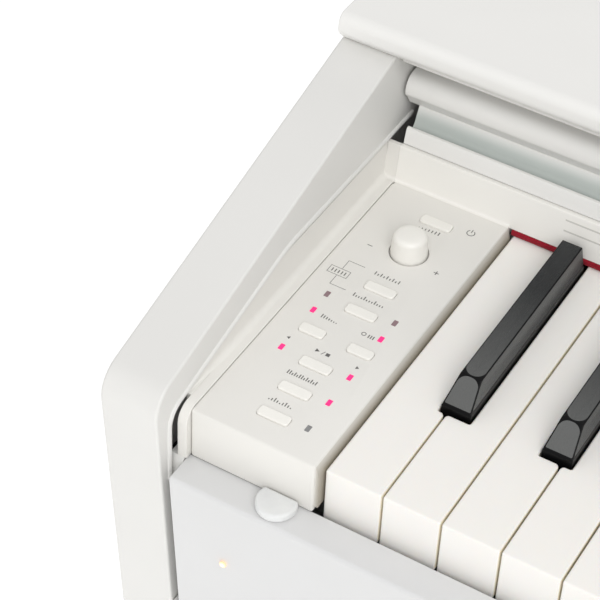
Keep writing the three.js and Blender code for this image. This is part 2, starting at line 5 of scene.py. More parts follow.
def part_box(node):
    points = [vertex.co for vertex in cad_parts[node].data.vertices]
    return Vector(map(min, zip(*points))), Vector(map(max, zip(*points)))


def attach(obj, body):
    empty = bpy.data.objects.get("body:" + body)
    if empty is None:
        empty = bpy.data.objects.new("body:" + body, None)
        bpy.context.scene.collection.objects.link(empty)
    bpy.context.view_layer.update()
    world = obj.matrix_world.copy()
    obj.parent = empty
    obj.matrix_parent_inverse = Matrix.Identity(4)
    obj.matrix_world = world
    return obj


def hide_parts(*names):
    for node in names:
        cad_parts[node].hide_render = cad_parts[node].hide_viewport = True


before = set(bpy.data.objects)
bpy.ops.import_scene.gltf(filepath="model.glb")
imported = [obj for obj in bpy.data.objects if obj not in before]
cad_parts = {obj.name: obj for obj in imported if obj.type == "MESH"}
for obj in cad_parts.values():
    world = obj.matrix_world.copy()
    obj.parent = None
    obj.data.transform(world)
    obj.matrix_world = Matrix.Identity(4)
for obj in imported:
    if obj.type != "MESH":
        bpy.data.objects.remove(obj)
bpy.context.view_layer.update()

MM = 0.001

# ---------------------------------------------------------------- camera, floor and light
# A long lens looks down at the bass end of the keyboard from the player's right.
# The floor is a plain pale sheet, and big soft lamps stand round the piano.
scene = bpy.context.scene
first_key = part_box("key_a0")
key_left = first_key[0].x - 0.5 * MM
key_front = first_key[0].y
key_top = first_key[1].z


def at(x, y, z):
    """A point in millimetres right of, behind and above the first white key's front left corner."""
    return Vector((key_left + x * MM, key_front + y * MM, key_top + z * MM))


lens = bpy.data.cameras.new("camera")
lens.sensor_width = 36
lens.lens = 129.6
lens.shift_x = -0.001
lens.shift_y = -0.005
camera = bpy.data.objects.new("camera", lens)
scene.collection.objects.link(camera)
ahead = Vector((-0.349, 0.635, -0.689)).normalized()
across = Vector((0.859, 0.511, 0.036))
across = (across - ahead * across.dot(ahead)).normalized()
above = across.cross(ahead)
look = Matrix((across, above, -ahead)).transposed().to_4x4()
camera.matrix_world = Matrix.Translation(at(238.64, -458.37, 575.96)) @ look
scene.camera = camera
scene.view_settings.view_transform = "Standard"


def colour(code):
    """A linear colour from a six-figure sRGB code."""
    channels = [int(code[i:i + 2], 16) / 255 for i in (0, 2, 4)]
    return [c / 12.92 if c < 0.04045 else ((c + 0.055) / 1.055) ** 2.4 for c in channels] + [1.0]


def new_material(name):
    """A node material with its tree and its shader."""
    material = bpy.data.materials.new(name)
    material.use_nodes = True
    return material, material.node_tree, material.node_tree.nodes["Principled BSDF"]


def node(tree, kind, **settings):
    """A node, with its inputs or settings given by name."""
    made = tree.nodes.new(kind)
    for key, value in settings.items():
        if key in made.inputs:
            made.inputs[key].default_value = value
        else:
            setattr(made, key, value)
    return made


def wire(tree, source, target):
    tree.links.new(source, target)


def mottled(tree, scale, low, high, stretch=(1, 1, 1), detail=3.0):
    """A soft noise between two values or colours, in the piece's own space."""
    place = node(tree, "ShaderNodeTexCoord")
    spread = node(tree, "ShaderNodeMapping")
    spread.inputs["Scale"].default_value = stretch
    noise = node(tree, "ShaderNodeTexNoise", Scale=scale, Detail=detail)
    ramp = node(tree, "ShaderNodeValToRGB")
    ramp.color_ramp.elements[0].position = 0.3
    ramp.color_ramp.elements[1].position = 0.7
    ramp.color_ramp.elements[0].color = low
    ramp.color_ramp.elements[1].color = high
    wire(tree, place.outputs["Object"], spread.inputs["Vector"])
    wire(tree, spread.outputs["Vector"], noise.inputs["Vector"])
    wire(tree, noise.outputs["Fac"], ramp.inputs["Fac"])
    return ramp.outputs["Color"], noise.outputs["Fac"]


def tinted(name, scale, low, high, **pattern):
    """A new material coloured by a soft noise; gives the colour and the noise as well."""
    material, tree, shader = new_material(name)
    tint, noise = mottled(tree, scale, low, high, **pattern)
    wire(tree, tint, shader.inputs["Base Color"])
    return material, tree, shader, tint, noise


def grey(value):
    return [value, value, value, 1]


floor_mesh = bpy.data.meshes.new("floor")
reach = 40
floor_mesh.from_pydata([(-reach, -reach, 0), (reach, -reach, 0), (reach, reach, 0), (-reach, reach, 0)], [],
                       [(0, 1, 2, 3)])
floor = bpy.data.objects.new("floor", floor_mesh)
floor.location.z = -0.0005
scene.collection.objects.link(floor)
floor_paint, tree, shader, _, _ = tinted("floor_paint", 0.6, colour("F6F6F5"), colour("F9F9F8"))
shader.inputs["Roughness"].default_value = 0.9
shader.inputs["Emission Color"].default_value = (1, 1, 1, 1)
shader.inputs["Emission Strength"].default_value = 0.25
floor_mesh.materials.append(floor_paint)

world = bpy.data.worlds.new("studio")
world.use_nodes = True
world.node_tree.nodes["Background"].inputs["Color"].default_value = (1, 1, 1, 1)
world.node_tree.nodes["Background"].inputs["Strength"].default_value = 0.61
scene.world = world


def soft_lamp(name, place, target, size, power):
    light = bpy.data.lights.new(name, "AREA")
    light.shape = "DISK"
    light.size = size
    light.energy = power
    lamp = bpy.data.objects.new(name, light)
    lamp.location = place
    lamp.rotation_mode = "QUATERNION"
    lamp.rotation_quaternion = (Vector(target) - Vector(place)).to_track_quat("-Z", "Y")
    lamp.visible_camera = False
    scene.collection.objects.link(lamp)


soft_lamp("window_light", (1.4, -2.8, 3.7), (-0.4, 0, 0.7), 3.6, 105)
soft_lamp("left_fill", (-3.2, -2.6, 2.4), (-0.4, 0, 0.6), 3.0, 6)
soft_lamp("back_fill", (0.5, 4.5, 3.0), (0, 0, 0.5), 3.0, 40)
soft_lamp("ceiling_light", (0.2, 0.4, 5.0), (0, 0, 0.7), 4.0, 15)

# ---------------------------------------------------------------- arm boards
# The two ends of the cabinet: 24.5 mm chipboard faced in satin white, edges rounded and painted.
# A track for the key cover is routed 8 mm deep in each inner face, and its lip is rounded over.


def fillet(corners, steps=7):
    """An outline from corners (a, b, radius): each corner becomes an arc of that radius."""
    points = []
    count = len(corners)
    for i, (a, b, radius) in enumerate(corners):
        here = Vector((a, b))
        if radius <= 0:
            points.append(here)
            continue
        before = (Vector(corners[i - 1][:2]) - here).normalized()
        after = (Vector(corners[(i + 1) % count][:2]) - here).normalized()
        half = before.angle(after) / 2
        middle = here + (before + after).normalized() * (radius / math.sin(half))
        start = here + before * (radius / math.tan(half)) - middle
        sweep = start.angle_signed(here + after * (radius / math.tan(half)) - middle)
        for k in range(steps + 1):
            points.append(middle + Matrix.Rotation(-sweep * k / steps, 2) @ start)
    return points


def new_piece(name, mesh_builder, material):
    """Links an object whose mesh is built by a function that fills a bmesh."""
    shell = bmesh.new()
    mesh_builder(shell)
    bmesh.ops.recalc_face_normals(shell, faces=shell.faces)
    mesh = bpy.data.meshes.new(name)
    shell.to_mesh(mesh)
    shell.free()
    piece = bpy.data.objects.new(name, mesh)
    scene.collection.objects.link(piece)
    for each in material if isinstance(material, (list, tuple)) else [material]:
        mesh.materials.append(each)
    return piece


def skin(shell, first, last):
    """Closes a solid between two like rings of vertices."""
    shell.faces.new(first)
    shell.faces.new(last[::-1])
    for i in range(len(first)):
        j = (i + 1) % len(first)
        shell.faces.new((first[i], last[i], last[j], first[j]))


def slab(shell, outline, x0, x1):
    """A side outline in Y and Z (millimetres from the first key), run along X."""
    left = [shell.verts.new(at(x0, y, z)) for y, z in outline]
    right = [shell.verts.new(at(x1, y, z)) for y, z in outline]
    skin(shell, left, right)


def ease(piece, width, segments=3, angle=30):
    """Rounds every sharp edge, then smooths the shading up to 35 degrees."""
    bevel = piece.modifiers.new("eased edges", "BEVEL")
    bevel.width = width * MM
    bevel.segments = segments
    bevel.limit_method = "ANGLE"
    bevel.angle_limit = math.radians(angle)
    shade_evenly(piece)
    return bevel


def shade_evenly(piece):
    """Smooth shading that keeps the large faces flat."""
    smooth(piece)
    even = piece.modifiers.new("even shading", "WEIGHTED_NORMAL")
    even.weight = 100
    even.keep_sharp = True


def smooth(piece, degrees=35):
    """Smooth shading, with the edges over this angle kept sharp."""
    piece.data.polygons.foreach_set("use_smooth", [True] * len(piece.data.polygons))
    attributes = piece.data.attributes
    sharp = attributes.get("sharp_edge") or attributes.new("sharp_edge", "BOOLEAN", "EDGE")
    shell = bmesh.new()
    shell.from_mesh(piece.data)
    flags = [len(e.link_faces) == 2 and e.calc_face_angle() > math.radians(degrees) for e in shell.edges]
    shell.free()
    sharp.data.foreach_set("value", flags)


def roughen(tree, shader, height, strength, distance):
    """Lets a height pattern disturb the surface."""
    bump = node(tree, "ShaderNodeBump", Strength=strength, Distance=distance)
    wire(tree, height, bump.inputs["Height"])
    wire(tree, bump.outputs["Normal"], shader.inputs["Normal"])


def faced_board(name, light, dark, roughness):
    """Satin paint over board: faint cloudiness, and the orange peel of a sprayed finish."""
    material, tree, shader, _, _ = tinted(name, 9, colour(dark), colour(light))
    gloss, _ = mottled(tree, 30, grey(roughness - 0.04), grey(roughness + 0.05))
    wire(tree, gloss, shader.inputs["Roughness"])
    _, peel = mottled(tree, 900, grey(0), grey(1), detail=1.0)
    roughen(tree, shader, peel, 0.05, 0.0003)
    shader.inputs["Coat Weight"].default_value = 0.12
    shader.inputs["Coat Roughness"].default_value = 0.3
    return material


white_board = faced_board("white_board", "E9E8E5", "E5E4E1", 0.46)
# A darker copy of the same satin white: painted shade for the arm boards, their track edging and slot feet.
arm_shaded_white = faced_board("arm_shaded_white", "E1E0DD", "DDDCD9", 0.46)
keys_wide = 1222
board_thick = 24.5
end_inner = -60.0
end_outer = end_inner - board_thick
cabinet_back = 281.0
shelf = 61.7
arm_foot = -133.0
lip = fillet([(172, 20.6, 0), (73, 21.5, 60), (-8.2, 1.6, 7.5), (-8.2, -31, 0)], 12)
arm_front = [(cabinet_back, arm_foot, 0), (cabinet_back, shelf, 0), (153, shelf, 0), (-18.7, 15.6, 13),
             (-7.2, arm_foot, 12)]
arm_layer = fillet(arm_front, 10)
rim_layer = fillet([(cabinet_back, shelf, 0), (153, shelf, 0), (-18.7, 15.6, 13), (-7.2, arm_foot, 12),
                    (8, arm_foot, 0), (8, -31, 0)], 10) + lip[::-1] + [Vector((cabinet_back, 20.6))]
track_depth = 8.0


def weigh(piece, test, weight):
    """Marks edges for rounding: test takes the edge's two ends in millimetres from the first key."""
    attribute = piece.data.attributes.get("bevel_weight_edge")
    attribute = attribute or piece.data.attributes.new("bevel_weight_edge", "FLOAT", "EDGE")
    origin = at(0, 0, 0)
    for edge in piece.data.edges:
        a, b = (((piece.data.vertices[v].co - origin) / MM) for v in edge.vertices)
        if test(a, b):
            attribute.data[edge.index].value = weight


def round_marked(piece, width, segments=4):
    """Rounds the marked edges, each by its share of the width."""
    bevel = piece.modifiers.new("rounded edges", "BEVEL")
    bevel.width = width * MM
    bevel.segments = segments
    bevel.limit_method = "WEIGHT"
    shade_evenly(piece)


def mirrored(piece, name):
    """The same piece for the other end: its mesh reflected across the middle of the piano."""
    twin = piece.copy()
    twin.data = piece.data.copy()
    twin.name = name
    twin.data.transform(Matrix.Scale(-1, 4, Vector((1, 0, 0))))
    twin.data.flip_normals()
    scene.collection.objects.link(twin)
    return twin


def fix(piece, body, slot_name, *nodes):
    """Sets a piece on its body and hides the nodes it stands for; the finish name slot_name is not used."""
    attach(piece, body)
    if nodes:
        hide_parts(*nodes)
    return piece


def build_arm(shell):
    slab(shell, arm_layer, end_outer, end_inner - track_depth)
    slab(shell, rim_layer, end_inner - track_depth, end_inner)


def recess_black():
    """A black lining on the routed floor and walls of the recess: painted shade, so that the deep slot
    between the lip and the guide reads dark.
    """
    material, tree, shader, _, fibre = tinted(
        "slot_shade_lining", 1200, colour("0B0B0B"), colour("1D1A17"), detail=6)
    roughen(tree, shader, fibre, 0.5, 0.0004)
    shader.inputs["Roughness"].default_value = 0.95
    return material


def line_recess(piece):
    """Gives the routed floor and walls of the recess the black lining of painted shade."""
    origin = at(0, 0, 0)
    for face in piece.data.polygons:
        place = (face.center - origin) / MM
        deep = end_inner - track_depth - 0.01 < place.x < end_inner - 0.5
        inside = -7.0 < place.y < 171.9 and -31.5 < place.z < 21
        if deep and inside:
            face.material_index = 1


arm_left = new_piece("end_board_left", build_arm, [arm_shaded_white, recess_black()])
line_recess(arm_left)
near = lambda p, q: abs(p - q) < 0.01
weigh(arm_left, lambda a, b: near(a.x, end_outer) and near(b.x, end_outer), 0.55)
weigh(arm_left, lambda a, b: near(a.x, end_inner) and near(b.x, end_inner), 0.55)
weigh(arm_left, lambda a, b: near(a.x, end_inner) and near(b.x, end_inner)
      and max(a.z, b.z) < 21.6 and -8.5 < min(a.y, b.y) and max(a.y, b.y) < 172.1 and a.z + b.z > -61, 0.1)
round_marked(arm_left, 3.0)
arm_right = mirrored(arm_left, "end_board_right")
fix(arm_left, "cabinet", "painted_board", "arm_board_left")
fix(arm_right, "cabinet", "painted_board", "arm_board_right")


def offset_line(points, distance):
    """A line moved sideways by a distance, to its left."""
    moved = []
    for i, here in enumerate(points):
        a, b = points[max(i - 1, 0)], points[min(i + 1, len(points) - 1)]
        along = (b - a).normalized()
        moved.append(here + Vector((-along.y, along.x)) * distance)
    return moved


def build_bead(shell):
    """A half-round bead along the recess's edge, standing 1 mm proud of the board."""
    rings = []
    for k in range(7):
        turn_by = math.pi * k / 6
        across_lip = 1.35 - 1.35 * math.cos(turn_by)
        rings.append([shell.verts.new(at(end_inner - 0.2 + 1.15 * math.sin(turn_by), p.x, p.y))
                      for p in offset_line(lip, -across_lip)])
    for low, high in zip(rings, rings[1:]):
        for i in range(len(low) - 1):
            shell.faces.new((low[i], low[i + 1], high[i + 1], high[i]))
    for end in (0, -1):
        shell.faces.new([r[end] for r in rings])
    for i in range(len(rings[0]) - 1):
        shell.faces.new((rings[0][i], rings[-1][i], rings[-1][i + 1], rings[0][i + 1]))


bead = new_piece("track_edging_left", build_bead, arm_shaded_white)
smooth(bead, 50)
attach(bead, "cabinet")
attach(mirrored(bead, "track_edging_right"), "cabinet")

# ---------------------------------------------------------------- cover guides
# A moulded white strip is pinned in each track: a wall under the lip, and a ledge beside the panel.
# The cover's ends pass above it, and a dark slot is left between its front end and the lip.


def moulded(name, light, dark, roughness, grain=2600, depth=0.12):
    """Injection moulded plastic: a fine spark-eroded grain and a faintly uneven sheen."""
    material, tree, shader, _, _ = tinted(name, 14, colour(dark), colour(light))
    gloss, _ = mottled(tree, 45, grey(roughness - 0.05), grey(roughness + 0.06))
    wire(tree, gloss, shader.inputs["Roughness"])
    _, pits = mottled(tree, grain, grey(0), grey(1), detail=2.0)
    roughen(tree, shader, pits, depth, 0.0002)
    return material


panel_white = moulded("panel_white", "E6E4DF", "E3E1DC", 0.42)
guide_inner = -54.36
slip_left = -55.2
block_left = -54.2
panel_top = 4.0


def build_guide(shell):
    ledge = fillet([(-6.8, -20, 0.6), (-6.8, panel_top + 0.5, 7), (3, panel_top, 0), (148.2, panel_top, 0),
                    (148.2, -20, 0)], 8)
    slab(shell, ledge, end_inner + 1.7, guide_inner)
    slab(shell, [(2.5, -20), (2.5, 4.0), (148.2, 4.0), (148.2, -20)], end_inner - 0.4, end_inner + 1.7)
    upright = fillet([(147.6, -20, 0), (147.6, panel_top, 0), (149.7, panel_top, 1.7), (151.9, 20.1, 0.5),
                      (154, 20.1, 0), (154, -20, 0)], 6)
    slab(shell, upright, end_inner - 0.4, block_left - 0.05)


def build_track_foot(shell):
    """Closes the foot of the slot, level with the key slip."""
    foot = [(-7.4, -33), (-7.4, -22), (-6.6, -19.9), (-2, -19.9), (-2, -33)]
    slab(shell, foot, end_inner - 1.2, slip_left - 0.25)


def build_guide_wall(shell):
    """The wall and the soft hollow between it and the ledge."""
    profiles = []
    for y, top in ((2.5, 4.1), (8, 5.1), (25, 9.4), (45, 14.4), (62, 18.6), (73, 20.5), (151, 20.2)):
        hollow = min(2.6, (top - 4.0) * 0.6 + 0.05)
        arc = [(end_inner + 0.25 + hollow * (1 - math.cos(t)), 3.98 + hollow * (1 - math.sin(t)))
               for t in (math.pi / 2 * k / 6 for k in range(7))]
        profiles.append([shell.verts.new(at(x, y, z)) for x, z in
                         [(end_inner - 0.4, top), (end_inner + 0.25, top)] + arc + [(end_inner - 0.4, 3.5)]])
    for a, b in zip(profiles, profiles[1:]):
        for i in range(len(a)):
            j = (i + 1) % len(a)
            shell.faces.new((a[i], a[j], b[j], b[i]))
    shell.faces.new(profiles[0])
    shell.faces.new(profiles[-1][::-1])


guide_left = new_piece("track_guide_left", build_guide, panel_white)
ease(guide_left, 0.25)
guide_right = mirrored(guide_left, "track_guide_right")
fix(guide_left, "cabinet", "moulding", "cover_guide_left")
fix(guide_right, "cabinet", "moulding", "cover_guide_right")
foot_left = new_piece("track_foot_left", build_track_foot, arm_shaded_white)
smooth(foot_left)
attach(foot_left, "cabinet")
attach(mirrored(foot_left, "track_foot_right"), "cabinet")
wall_left = new_piece("track_wall_left", build_guide_wall, panel_white)
smooth(wall_left, 40)
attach(wall_left, "cabinet")
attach(mirrored(wall_left, "track_wall_right"), "cabinet")

# ---------------------------------------------------------------- key bed, back and inner frame
# The bed is a faced board dowelled between the arm boards; the back is a thinner one screwed behind.
# The key frame, circuit boards and speakers sit on the bed, hidden by the keys and the panel.


def recoat(node_name, material, edge=0.0, segments=2):
    """Gives a frame node its finish, and rounds its edges when it is a plain board."""
    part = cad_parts[node_name]
    part.data.materials.clear()
    part.data.materials.append(material)
    if edge:
        weld = part.modifiers.new("weld", "WELD")
        weld.merge_threshold = 0.00001
        flat = part.modifiers.new("flat faces", "DECIMATE")
        flat.decimate_type = "DISSOLVE"
        flat.angle_limit = math.radians(1)
        bevel = part.modifiers.new("eased edges", "BEVEL")
        bevel.width = edge * MM
        bevel.segments = segments
        bevel.limit_method = "ANGLE"
        bevel.angle_limit = math.radians(35)
    return part


for name in ("bottom_board", "case_back"):
    recoat(name, white_board, 0.8)
frame_grey = moulded("frame_grey", "55585C", "4C4F53", 0.55)
recoat("key_chassis", frame_grey)


def circuit_board():
    """Green lacquer over copper: tracks show as a fine lighter pattern."""
    material, tree, shader = new_material("circuit_lacquer")
    place = node(tree, "ShaderNodeTexCoord")
    tracks = node(tree, "ShaderNodeTexBrick", Scale=160)
    tracks.inputs["Mortar Size"].default_value = 0.06
    tracks.inputs["Color1"].default_value = colour("1F5A33")
    tracks.inputs["Color2"].default_value = colour("236339")
    tracks.inputs["Mortar"].default_value = colour("3E8A54")
    wire(tree, place.outputs["Object"], tracks.inputs["Vector"])
    wire(tree, tracks.outputs["Color"], shader.inputs["Base Color"])
    shader.inputs["Roughness"].default_value = 0.35
    return material


lacquer = circuit_board()
recoat("panel_circuit_board", lacquer)
recoat("main_circuit_board", lacquer)


def paper_cone():
    """Pressed black paper with fibres, the same on the basket behind it."""
    material, tree, shader, _, fibre = tinted(
        "paper_cone", 700, colour("1A1A1C"), colour("2A2A2D"), stretch=(1, 1, 0.2), detail=6)
    roughen(tree, shader, fibre, 0.3, 0.0004)
    shader.inputs["Roughness"].default_value = 0.8
    return material


cone_black = paper_cone()
for name in ("speaker_left", "speaker_right"):
    smooth(recoat(name, cone_black), 40)

# ---------------------------------------------------------------- key slip
# The front rail below the keys: a white moulded cap on a board, screwed between the arm boards.
# Its face leans back at the same slope as theirs.
slip_top = -21.0


def build_slip(shell):
    lean = math.tan(math.radians(4.5))
    low = -104.7
    slab(shell, fillet([(-17.5, slip_top, 1.6), (-3.0, slip_top, 0.4), (-3.0, slip_top - 16, 0),
                        (-17.5 + (slip_top - low) * lean + 16, low, 0),
                        (-17.5 + (slip_top - low) * lean, low, 1.0)], 5), slip_left, keys_wide - slip_left)


# A darker copy of the panel's white: painted shade on the key slip, whose top lies in shade under the keys.
slip_shaded_white = moulded("slip_shaded_white", "D9D9D9", "D6D6D6", 0.45)
slip = new_piece("front_rail", build_slip, slip_shaded_white)
weigh(slip, lambda a, b: near(a.x, b.x) and (near(a.x, slip_left) or near(a.x, keys_wide - slip_left)), 1)
round_marked(slip, 1.2)
fix(slip, "cabinet", "moulding", "key_slip")

# ---------------------------------------------------------------- control panel
# One moulded cover: a hollow block at each end of the keys and the leaning name board between them.
# The left block has a hole for every button and for the volume control.
block_right = -2.0
block_front = -4.0
block_back = 149.0
name_foot = 149.6
buttons = {
    "power_button": (-27, 134.5, 13.5),
    "function_button": (-27, 88.6, 13),
    "metronome_button": (-27, 73.4, 13),
    "reverb_button": (-37.7, 55, 10.5),
    "record_button": (-16.8, 55, 10.5),
    "play_stop_button": (-27.3, 39.7, 13),
    "piano_tone_button": (-27.2, 24.5, 13),
    "electric_tone_button": (-27, 9.5, 13),
}
cap_depth = 4.8
wall = 3
knob_place = (-28.2, 113.8)


def span(tree, start, stop, **settings):
    """A value's share of the way from start to stop."""
    made = node(tree, "ShaderNodeMapRange", **settings)
    made.inputs["From Min"].default_value = start
    made.inputs["From Max"].default_value = stop
    return made


def painted_shade_material(name, light, dark, shade, axis, start, stop, roughness):
    """The same plastic or paint with painted shade: darker along one axis, where a deep corner keeps the
    light out.
    """
    material = moulded(name, light, dark, roughness)
    tree = material.node_tree
    shader = tree.nodes["Principled BSDF"]
    tint = shader.inputs["Base Color"].links[0].from_socket
    place = node(tree, "ShaderNodeTexCoord")
    where = node(tree, "ShaderNodeSeparateXYZ")
    ramp = span(tree, start, stop, interpolation_type="SMOOTHSTEP")
    blend = node(tree, "ShaderNodeMixRGB", Color2=colour(shade))
    wire(tree, place.outputs["Object"], where.inputs["Vector"])
    wire(tree, where.outputs[axis], ramp.inputs["Value"])
    wire(tree, ramp.outputs["Result"], blend.inputs["Fac"])
    wire(tree, tint, blend.inputs["Color1"])
    wire(tree, blend.outputs["Color"], shader.inputs["Base Color"])
    return material


def prism(shell, outline, z0, z1, x=0, y=0):
    """A plan outline in X and Y (millimetres), raised from z0 to z1."""
    low = [shell.verts.new(at(x + a, y + b, z0)) for a, b in outline]
    high = [shell.verts.new(at(x + a, y + b, z1)) for a, b in outline]
    shell.faces.new(low[::-1])
    shell.faces.new(high)
    for i in range(len(low)):
        j = (i + 1) % len(low)
        shell.faces.new((low[i], low[j], high[j], high[i]))


def rounded_box(width, depth, radius, steps=4):
    w, d = width / 2, depth / 2
    return fillet([(-w, -d, radius), (w, -d, radius), (w, d, radius), (-w, d, radius)], steps)


def circle(radius, count=32):
    return [(radius * math.cos(2 * math.pi * k / count), radius * math.sin(2 * math.pi * k / count))
            for k in range(count)]


def settle(piece):
    """Makes a piece's modifiers part of its mesh."""
    graph = bpy.context.evaluated_depsgraph_get()
    mesh = bpy.data.meshes.new_from_object(piece.evaluated_get(graph))
    piece.modifiers.clear()
    piece.data = mesh
    return piece


def cut(piece, tool):
    """Cuts a tool's shape out of a piece and removes the tool."""
    remover = piece.modifiers.new("cut", "BOOLEAN")
    remover.operation = "DIFFERENCE"
    remover.solver = "EXACT"
    remover.object = tool
    bpy.context.view_layer.update()
    settle(piece)
    bpy.data.objects.remove(tool)


def build_block(shell):
    prism(shell, [(block_left, block_front), (block_right, block_front), (block_right, block_back),
                  (block_left, block_back)], slip_top + 0.5, panel_top)


def run_back(shell, outline, y0, y1):
    """An outline in X and Z, run along Y."""
    front = [shell.verts.new(at(x, y0, z)) for x, z in outline]
    back = [shell.verts.new(at(x, y1, z)) for x, z in outline]
    skin(shell, front, back)


def build_key_cheek(shell):
    """The soft curve from the block's edge down to the gap beside the first key."""
    run_back(shell, [(-3.2, 3.2), (-2.05, 3.1), (-1.75, 2.2), (-1.2, 0.6), (-0.75, -1.2), (-0.5, -3.6),
                     (-0.45, -18), (-3.2, -18)], block_front + 1.2, 148.9)


def build_cavity(shell):
    left, right, front = block_left + wall, block_right - wall, block_front + wall
    inside = [(left, front), (right, front), (right, 144.9), (left, 144.9)]
    prism(shell, inside, slip_top - 5, panel_top - wall)


def build_wells(shell):
    for x, y, width in buttons.values():
        prism(shell, rounded_box(width + 0.3, cap_depth + 0.3, 1.35), panel_top - 9, panel_top + 1, x, y)
    prism(shell, circle(8.1, 40), panel_top - 1.6, panel_top + 1, *knob_place)
    prism(shell, circle(3.5), panel_top - 9, panel_top - 1, *knob_place)
    prism(shell, circle(0.75, 16), panel_top - 9, panel_top + 1, block_left + 0.2, 147.5)


block_piece = new_piece("panel_block_left", build_block, panel_white)
ease(block_piece, 0.9)
settle(block_piece)
right_block = mirrored(block_piece, "panel_block_right")
for part in (block_piece, right_block):
    hollow = new_piece("hollow", build_cavity, panel_white)
    if part is right_block:
        hollow.data.transform(Matrix.Scale(-1, 4, Vector((1, 0, 0))))
        hollow.data.flip_normals()
    cut(part, hollow)
cut(block_piece, new_piece("wells", build_wells, panel_white))
smooth(block_piece)
smooth(right_block)


def build_name_board(shell):
    slab(shell, fillet([(name_foot, 3.0, 0), (151.9, 20.1, 0.5), (156.2, 20.1, 0.6), (156.2, 3.0, 0)], 4),
         block_right, keys_wide - block_right)
    for side in (0, 1):
        ends = (block_left, block_right) if side == 0 else (keys_wide - block_right, keys_wide - block_left)
        slab(shell, fillet([(148.3, 0, 0), (148.3, panel_top + 0.01, 0), (149.7, panel_top + 0.01, 1.0),
                            (151.9, 20.1, 0.5), (156.2, 20.1, 0.6), (156.2, 0, 0)], 6), *ends)


# A lighter copy of the panel's white: painted light on the name board's face.
name_lit_white = moulded("name_lit_white", "F1EFEA", "EEECE7", 0.42)
name_board = new_piece("name_strip", build_name_board, name_lit_white)
smooth(name_board)
# Painted shade: the cheek darkens towards the narrow gap beside the first key.
shade_start, shade_end = at(-3.1, 0, 0).x, at(-0.3, 0, 0).x
cheek_painted_shade = painted_shade_material("cheek_shade", "E6E4DF", "E3E1DC", "AAA396", "X", shade_start, shade_end, 0.42)
cheek = new_piece("key_cheek_left", build_key_cheek, cheek_painted_shade)
smooth(cheek, 60)
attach(cheek, "cabinet")
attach(mirrored(cheek, "key_cheek_right"), "cabinet")
fix(block_piece, "cabinet", "moulding", "control_block_left")
fix(right_block, "cabinet", "moulding", "control_block_right")
fix(name_board, "cabinet", "moulding", "name_board")

# ---------------------------------------------------------------- buttons
# Low moulded caps of white plastic, eight in all, with eased edges.
# Each stands about 1 mm proud of the panel, on the switch below its hole.
cap_white = moulded("cap_white", "F2F0EA", "EFEDE7", 0.36)


def button_cap(width):
    def build(shell):
        prism(shell, rounded_box(width, cap_depth, 1.2), -1.5, panel_top + 0.95)
    return build


for name, (x, y, width) in buttons.items():
    cap = new_piece("cap_" + name, button_cap(width), cap_white)
    cap.data.transform(Matrix.Translation(Vector((x * MM, y * MM, 0))))
    ease(cap, 0.45)
    fix(cap, name, "moulding", name)

# ---------------------------------------------------------------- volume knob
# A round cap of the buttons' white plastic with a rounded rim, set in a shallow well.
# It is pushed on the shaft of the volume control.


def turn(shell, profile, x, y, z, count=48):
    """A profile of (radius, height) turned about an upright axis, closed at its ends on the axis."""
    rings = []
    for radius, height in profile:
        if radius <= 0:
            rings.append([shell.verts.new(at(x, y, z + height))])
        else:
            rings.append([shell.verts.new(at(x + a, y + b, z + height)) for a, b in circle(radius, count)])
    for low, high in zip(rings, rings[1:]):
        for k in range(count):
            j = (k + 1) % count
            corners = [low[k % len(low)], low[j % len(low)], high[j % len(high)], high[k % len(high)]]
            shell.faces.new(list(dict.fromkeys(corners)))


def build_knob(shell):
    rim = [(6.9 - 2.3 * (1 - math.cos(t)), 7.4 + 2.3 * math.sin(t)) for t in
           (math.pi / 2 * k / 6 for k in range(7))]
    turn(shell, [(0, -1.2), (7.3, -1.2), (7.5, -0.6), (7.4, 2), (7.1, 5)] + rim + [(3, 9.85), (0, 9.9)],
         *knob_place, panel_top)


knob = new_piece("knob", build_knob, cap_white)
smooth(knob, 50)
fix(knob, "volume_knob", "moulding", "volume_knob")

# ---------------------------------------------------------------- printed marks and lamps
# Marks are screen printed in grey: bars and plain signs in place of words.
# The lamps are small lenses set flush in the panel; the lit ones glow pink.


def ink():
    material, tree, shader, _, _ = tinted("grey_ink", 800, colour("5C5B59"), colour("666563"))
    shader.inputs["Roughness"].default_value = 0.6
    return material


grey_ink = ink()
print_height = 0.03


def plate(shell, outline, x, y):
    prism(shell, outline, panel_top - 0.02, panel_top + print_height, x, y)


def bar(shell, x, y, width, height):
    plate(shell, [(-width / 2, -height / 2), (width / 2, -height / 2), (width / 2, height / 2),
                  (-width / 2, height / 2)], x, y)


def ring(shell, x, y, radius, line, start=0.0, end=360.0, count=24):
    """A printed arc of a given line width."""
    inner, outer = radius - line / 2, radius + line / 2
    for k in range(count):
        a, b = (math.radians(start + (end - start) * t / count) for t in (k, k + 1))
        plate(shell, [(r * math.cos(t), r * math.sin(t)) for r, t in
                      ((inner, a), (outer, a), (outer, b), (inner, b))], x, y)


def bars(shell, x, y, heights, pitch, line=0.42):
    """A row of upright strokes on one base line."""
    left = x - pitch * (len(heights) - 1) / 2
    for k, height in enumerate(heights):
        bar(shell, left + k * pitch, y - 0.9 + height * 0.6, line, height * 1.2)


